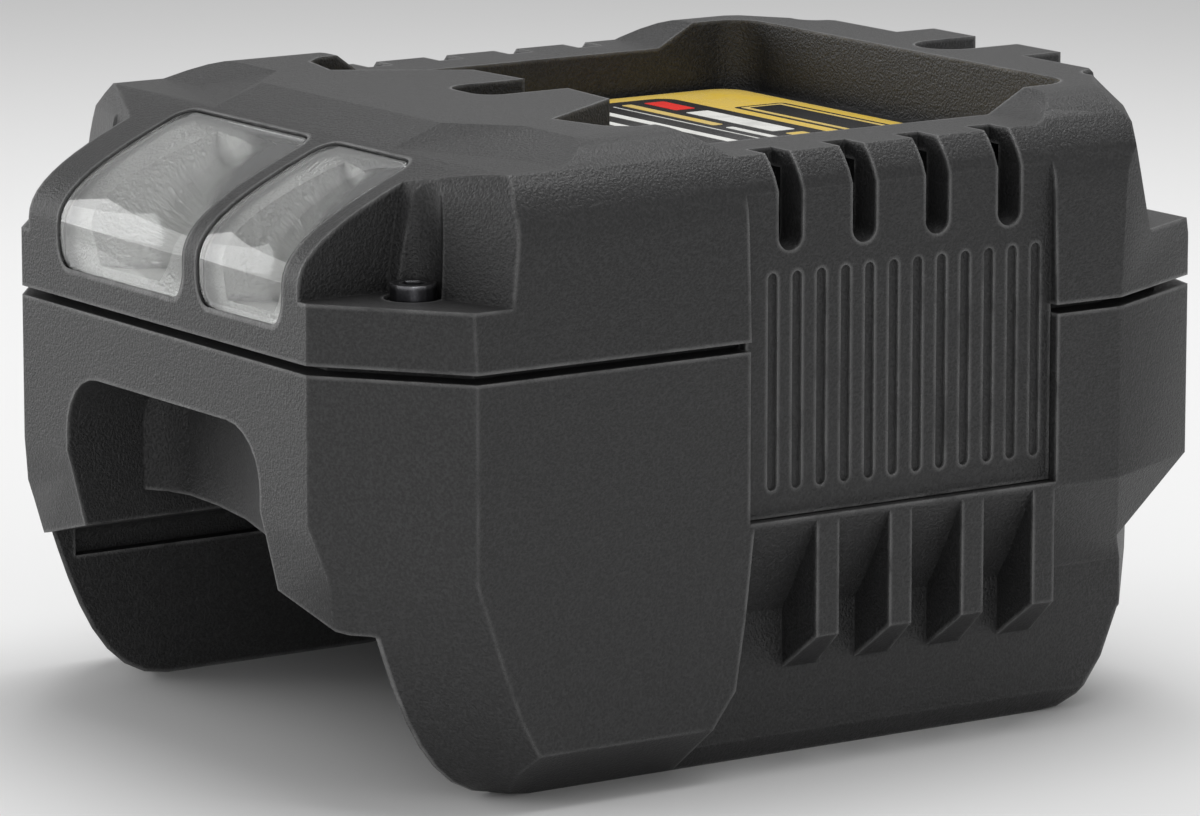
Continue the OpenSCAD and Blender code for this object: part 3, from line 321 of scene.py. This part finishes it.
make_finish("contact_plastic", (0.03, 0.03, 0.031), 0.5, grain=1600.0, pit=0.00004)
make_finish("contact_metal", (0.83, 0.72, 0.45), 0.25, 1.0, grain=2600.0, pit=0.00001)
make_finish("inlet_plastic", (0.02, 0.02, 0.021), 0.42, grain=1600.0, pit=0.00003)
make_finish("pin_metal", (0.78, 0.76, 0.7), 0.2, 1.0, grain=2600.0, pit=0.00001)
make_finish("lead_sleeve", (0.32, 0.02, 0.02), 0.38, grain=1800.0, pit=0.00002)
make_finish("fan_plastic", (0.024, 0.024, 0.025), 0.42, grain=1400.0, pit=0.00003)


# Clear lens: plain transmission, with faint moulding ripples
def make_lens_finish():
    smear_scale, ripple_scale, ripple_height = 90.0, 120.0, 0.00002
    material = bpy.data.materials.new("lens")
    material.use_nodes = True
    tree = material.node_tree
    shader = tree.nodes["Principled BSDF"]
    shader.inputs["Base Color"].default_value = (0.97, 0.98, 0.98, 1)
    shader.inputs["Transmission Weight"].default_value = 0.95
    shader.inputs["IOR"].default_value = 1.49
    place = object_place(tree)
    smears = add_range(tree, add_noise(tree, place, smear_scale, 5), 0.4, 0.8, 0.03, 0.1)
    tree.links.new(smears, shader.inputs["Roughness"])
    bump = tree.nodes.new("ShaderNodeBump")
    bump.inputs["Distance"].default_value = ripple_height
    tree.links.new(add_noise(tree, place, ripple_scale, 2), bump.inputs["Height"])
    tree.links.new(bump.outputs["Normal"], shader.inputs["Normal"])
    finishes["lens"] = material


# Silvered cup: dull metal with a finely dented skin, with painted shade where its walls meet
def make_silver_finish():
    haze_scale, dent_scale, fine_scale, dent_depth = 160.0, 2200.0, 3800.0, 0.00016
    crease_shade_reach, crease_shade_strength = 0.0003, 2.6
    material = bpy.data.materials.new("reflector")
    material.use_nodes = True
    tree = material.node_tree
    shader = tree.nodes["Principled BSDF"]
    shader.inputs["Metallic"].default_value = 1.0
    place = object_place(tree)
    wear_sheen_and_shade = place_group(tree, wear_sheen_shade_group, Reach=crease_shade_reach)
    haze = add_noise(tree, place, haze_scale, 5)
    tone = mix_colours(tree, haze, (0.25, 0.25, 0.24), (0.52, 0.52, 0.5))
    # Painted shade: creases darkened to near black
    painted_crease_shade = add_math(tree, "MULTIPLY", wear_sheen_and_shade.outputs["Corner Shade"], crease_shade_strength, True)
    tone = mix_colours(tree, painted_crease_shade, tone, (0.02, 0.02, 0.02))
    tree.links.new(tone, shader.inputs["Base Color"])
    tree.links.new(add_range(tree, haze, 0.2, 0.8, 0.3, 0.46), shader.inputs["Roughness"])
    dents = tree.nodes.new("ShaderNodeTexVoronoi")
    dents.feature = "SMOOTH_F1"
    dents.inputs["Scale"].default_value = dent_scale
    tree.links.new(place, dents.inputs["Vector"])
    skin = add_math(tree, "ADD", dents.outputs["Distance"], add_noise(tree, place, fine_scale, 3))
    bump = tree.nodes.new("ShaderNodeBump")
    bump.inputs["Distance"].default_value = dent_depth
    tree.links.new(skin, bump.inputs["Height"])
    tree.links.new(bump.outputs["Normal"], shader.inputs["Normal"])
    finishes["reflector"] = material


make_lens_finish()
make_silver_finish()

# Every solid wears the finish of its slot; the lamp board is paler so that it doesn't tint the lamps
for node_name, node_piece in nodes.items():
    finish_name = "lamp_board" if node_name == "lamp_board" else slot_of[node_name]
    node_piece.data.materials.clear()
    node_piece.data.materials.append(finishes[finish_name])


# A finished piece, shaded smooth but for its sharp edges, that rides its body
def finish_piece(name, made, finish, body="charger", weighted=False):
    sharp = math.radians(40)
    for face in made.faces:
        face.smooth = True
    for edge in made.edges:
        edge.smooth = len(edge.link_faces) == 2 and edge.calc_face_angle(0) < sharp
    mesh = bpy.data.meshes.new(name)
    made.to_mesh(mesh)
    made.free()
    mesh.materials.append(finish)
    piece = bpy.data.objects.new(name, mesh)
    scene.collection.objects.link(piece)
    if weighted:
        steady = piece.modifiers.new("steady_normals", "WEIGHTED_NORMAL")
        steady.keep_sharp = True
    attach(piece, body)
    return piece


# A copy of a CAD solid with its triangles joined into whole faces
def joined_copy(node_name):
    same_place, flat = 0.000002, math.radians(0.6)
    made = bmesh.new()
    made.from_mesh(nodes[node_name].data)
    bmesh.ops.remove_doubles(made, verts=made.verts, dist=same_place)
    bmesh.ops.dissolve_limit(
        made, angle_limit=flat, use_dissolve_boundaries=False, verts=made.verts, edges=made.edges,
    )
    return made


# Rounds every sharp edge that has room for it
def round_edges(made, radius, wanted=None):
    sharp, room = math.radians(28), 2.4 * radius
    chosen = []
    for edge in made.edges:
        if len(edge.link_faces) != 2 or edge.calc_face_angle(0) < sharp:
            continue
        if wanted and not wanted(edge):
            continue
        if all(near.calc_length() > room for end in edge.verts for near in end.link_edges):
            chosen.append(edge)
    if chosen:
        bmesh.ops.bevel(
            made, geom=chosen, offset=radius, offset_type="OFFSET", segments=2, profile=0.5,
            affect="EDGES", clamp_overlap=True, material=-1, loop_slide=True, miter_outer="SHARP",
            miter_inner="SHARP", spread=0.1, vmesh_method="ADJ",
        )


# An eased copy of a CAD solid; dress picks the faces that take the second finish
def eased_node(name, node_name, radius, body="charger", wanted=None, dress=None, second=None):
    made = joined_copy(node_name)
    round_edges(made, radius, wanted=wanted)
    if dress:
        dress(made)
    slot = slot_of[node_name]
    piece = finish_piece(name, made, finishes[slot], body, weighted=True)
    if second:
        piece.data.materials.append(finishes[second])
    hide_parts(node_name)


# Bare metal tops, set in from the rim of the sleeve
def open_can_tops(made):
    made.normal_update()
    smallest_top, sleeve_lip, top_depth = 0.00002, 0.0007, 0.0003
    tops = [face for face in made.faces if face.normal.z > 0.99 and face.calc_area() > smallest_top]
    bmesh.ops.inset_individual(
        made, faces=tops, thickness=sleeve_lip, depth=-top_depth, use_even_offset=True,
    )
    for face in tops:
        face.material_index = 1


# Metal caps on both ends of the fuse
def cap_fuse(made):
    low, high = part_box("fuse")
    cap_length = 0.00505
    for face in made.faces:
        along = face.calc_center_median().x
        if along < low[0] + cap_length or along > high[0] - cap_length:
            face.material_index = 1


eased_node("upper_shell", "upper_housing", 0.0005)
eased_node("lower_shell", "lower_housing", 0.0006)

# Smaller pieces, with only their outer edges rounded
for piece_name, eased, ease_radius, rides, dressing, second_finish in (
    ("plate_panel", "rating_plate", 0.0001, "charger", None, None),
    ("contact_holder", "contact_block", 0.0003, "charger", None, None),
    ("inlet_shell", "mains_inlet", 0.0003, "charger", None, None),
    ("core_block", "transformer_core", 0.0005, "charger", None, None),
    ("winding_roll", "transformer_winding", 0.0004, "charger", None, None),
    ("input_cans", "bulk_capacitors", 0.0005, "charger", open_can_tops, "heat_sink"),
    ("output_cans", "output_capacitors", 0.0004, "charger", open_can_tops, "heat_sink"),
    ("sink_block", "heat_sink", 0.0002, "charger", None, None),
    ("switch_chips", "power_transistors", 0.0002, "charger", None, None),
    ("fuse_tube", "fuse", 0.0002, "charger", cap_fuse, "pin_metal"),
    ("logic_chip", "control_chip", 0.0001, "charger", None, None),
    ("fan_housing", "fan_frame", 0.0003, "charger", None, None),
    ("fan_blades", "fan_rotor", 0.0001, "rotor", None, None),
):
    eased_node(
        piece_name, eased, ease_radius, rides,
        wanted=lambda edge: edge.is_convex, dress=dressing, second=second_finish,
    )

# The way the lamp windows face, the least lean of a face that counts as front or back, and their sizes
lens_out = Vector((0, -0.692, 0.722))
lens_lean = 0.3
lens_clearance = 0.00006
lens_rim = 0.0010
lens_hollow = 0.0011
lens_edge = 0.00035


# Lens: hollowed behind to leave a thick rim, its outer edge rounded, its back clear of the cup
def make_lens(name, node_name):
    made = joined_copy(node_name)
    made.normal_update()
    behind = [face for face in made.faces if face.normal.dot(lens_out) < -lens_lean]
    back_corners = list({corner for face in behind for corner in face.verts})
    bmesh.ops.translate(made, vec=lens_out * lens_clearance, verts=back_corners)
    bmesh.ops.inset_region(
        made, faces=behind, thickness=lens_rim, depth=-lens_hollow, use_boundary=True, use_even_offset=True,
    )
    made.normal_update()
    outline = []
    for edge in made.edges:
        leans = sorted(face.normal.dot(lens_out) for face in edge.link_faces)
        if len(leans) == 2 and abs(leans[0]) < lens_lean and leans[1] > lens_lean:
            outline.append(edge)
    bmesh.ops.bevel(
        made, geom=outline, offset=lens_edge, offset_type="OFFSET", segments=3, profile=0.5, affect="EDGES",
        clamp_overlap=True, material=-1,
    )
    piece = finish_piece(name, made, finishes["lens"], "charger")
    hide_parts(node_name)


make_lens("wide_lens", "lens_large")
make_lens("small_lens", "lens_small")


# Flat panels of the plain, unlettered label, one printed layer above the next
print_layer = 0.00003
plate_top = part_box("rating_plate")[1][2]


def make_panel(name, sides, layer, finish, corner=0.0004):
    left, right, near, far = (0.001 * side for side in sides)
    middle = ((left + right) / 2, (near + far) / 2, plate_top + (layer + 0.5) * print_layer)
    made = bmesh.new()
    bmesh.ops.create_cube(made, size=1)
    bmesh.ops.scale(made, vec=(right - left, far - near, print_layer), verts=made.verts)
    bmesh.ops.translate(made, vec=middle, verts=made.verts)
    upright = [
        edge for edge in made.edges
        if abs(edge.verts[0].co.z - edge.verts[1].co.z) > print_layer / 2
    ]
    bmesh.ops.bevel(
        made, geom=upright, offset=corner, offset_type="OFFSET", segments=5, profile=0.5, affect="EDGES",
        clamp_overlap=True, material=-1,
    )
    finish_piece(name, made, finishes[finish])


# Left, right, near and far sides in millimetres
make_panel("label_field", (-33.4, 33.4, -2.7, 35.2), 0, "label_black", 0.0028)
make_panel("label_frame", (-20.5, 20.5, 37.4, 46.0), 0, "label_black", 0.0008)
make_panel("label_frame_inner", (-19.7, 19.7, 38.2, 45.2), 1, "plate", 0.0003)
make_panel("label_frame_block", (-18.8, 18.8, 39.1, 44.3), 2, "label_black", 0.0003)
make_panel("label_rule", (-30.0, 30.0, 23.6, 23.9), 1, "label_pale", 0.0001)
make_panel("label_bar_red", (-30.6, -22.6, 29.2, 32.6), 1, "label_red")
make_panel("label_bar_pale", (-20.0, 1.0, 29.0, 32.8), 1, "label_pale")
make_panel("label_bar_yellow", (3.2, 29.0, 29.4, 32.4), 1, "plate")
make_panel("label_bar_low", (-30.6, -8.0, 25.4, 27.1), 1, "plate")
make_panel("label_bar_side", (-5.6, 24.0, 25.6, 26.9), 1, "label_pale")
make_panel("label_bar_front", (-30.0, 12.0, 18.6, 20.3), 1, "label_pale")
make_panel("label_bar_last", (-30.0, -4.0, 14.0, 15.5), 1, "label_pale")


# Floor and lights: away from the part, the camera sees the floor fade into the backdrop's tone
backdrop_tone = 0.45
floor_reach = 6
fade_start, fade_end = 0.3, 1.0


def make_floor():
    floor = bmesh.new()
    bmesh.ops.create_grid(floor, x_segments=1, y_segments=1, size=floor_reach)
    mesh = bpy.data.meshes.new("floor")
    floor.to_mesh(mesh)
    floor.free()
    piece = bpy.data.objects.new("floor", mesh)
    scene.collection.objects.link(piece)
    paint = bpy.data.materials.new("floor")
    paint.use_nodes = True
    tree = paint.node_tree
    surface = tree.nodes["Principled BSDF"]
    surface.inputs["Base Color"].default_value = (0.8, 0.8, 0.8, 1)
    surface.inputs["Roughness"].default_value = 0.9
    distance = tree.nodes.new("ShaderNodeVectorMath")
    distance.operation = "LENGTH"
    tree.links.new(object_place(tree), distance.inputs[0])
    far_off = add_range(tree, distance.outputs["Value"], fade_start, fade_end)
    seen = tree.nodes.new("ShaderNodeLightPath").outputs["Is Camera Ray"]
    pale = tree.nodes.new("ShaderNodeEmission")
    pale.inputs["Color"].default_value = (backdrop_tone, backdrop_tone, backdrop_tone, 1)
    blend = tree.nodes.new("ShaderNodeMixShader")
    tree.links.new(add_math(tree, "MULTIPLY", far_off, seen), blend.inputs["Fac"])
    tree.links.new(surface.outputs["BSDF"], blend.inputs[1])
    tree.links.new(pale.outputs["Emission"], blend.inputs[2])
    tree.links.new(blend.outputs["Shader"], tree.nodes["Material Output"].inputs["Surface"])
    mesh.materials.append(paint)


def soft_lamp(name, place, aim, width, height, watts):
    lamp_data = bpy.data.lights.new(name, "AREA")
    lamp_data.shape = "RECTANGLE"
    lamp_data.size, lamp_data.size_y = width, height
    lamp_data.energy = watts
    lamp = bpy.data.objects.new(name, lamp_data)
    lamp.location = place
    lamp.rotation_mode = "QUATERNION"
    lamp.rotation_quaternion = (Vector(aim) - Vector(place)).to_track_quat("-Z", "Y")
    scene.collection.objects.link(lamp)


make_floor()
soft_lamp("lamp_above", (-0.1, 0.2, 0.9), (0, 0, 0.05), 0.7, 0.7, 6)
soft_lamp("lamp_left", (-1.0, -0.75, 0.35), (0, 0, 0.05), 1.3, 0.7, 7)
soft_lamp("lamp_low", (0.95, -0.55, 0.12), (0, 0, 0.03), 0.5, 0.5, 2.2)
world = bpy.data.worlds.new("studio")
scene.world = world
world.use_nodes = True
backdrop = world.node_tree.nodes["Background"]
backdrop.inputs["Color"].default_value = (backdrop_tone, backdrop_tone, backdrop_tone, 1)
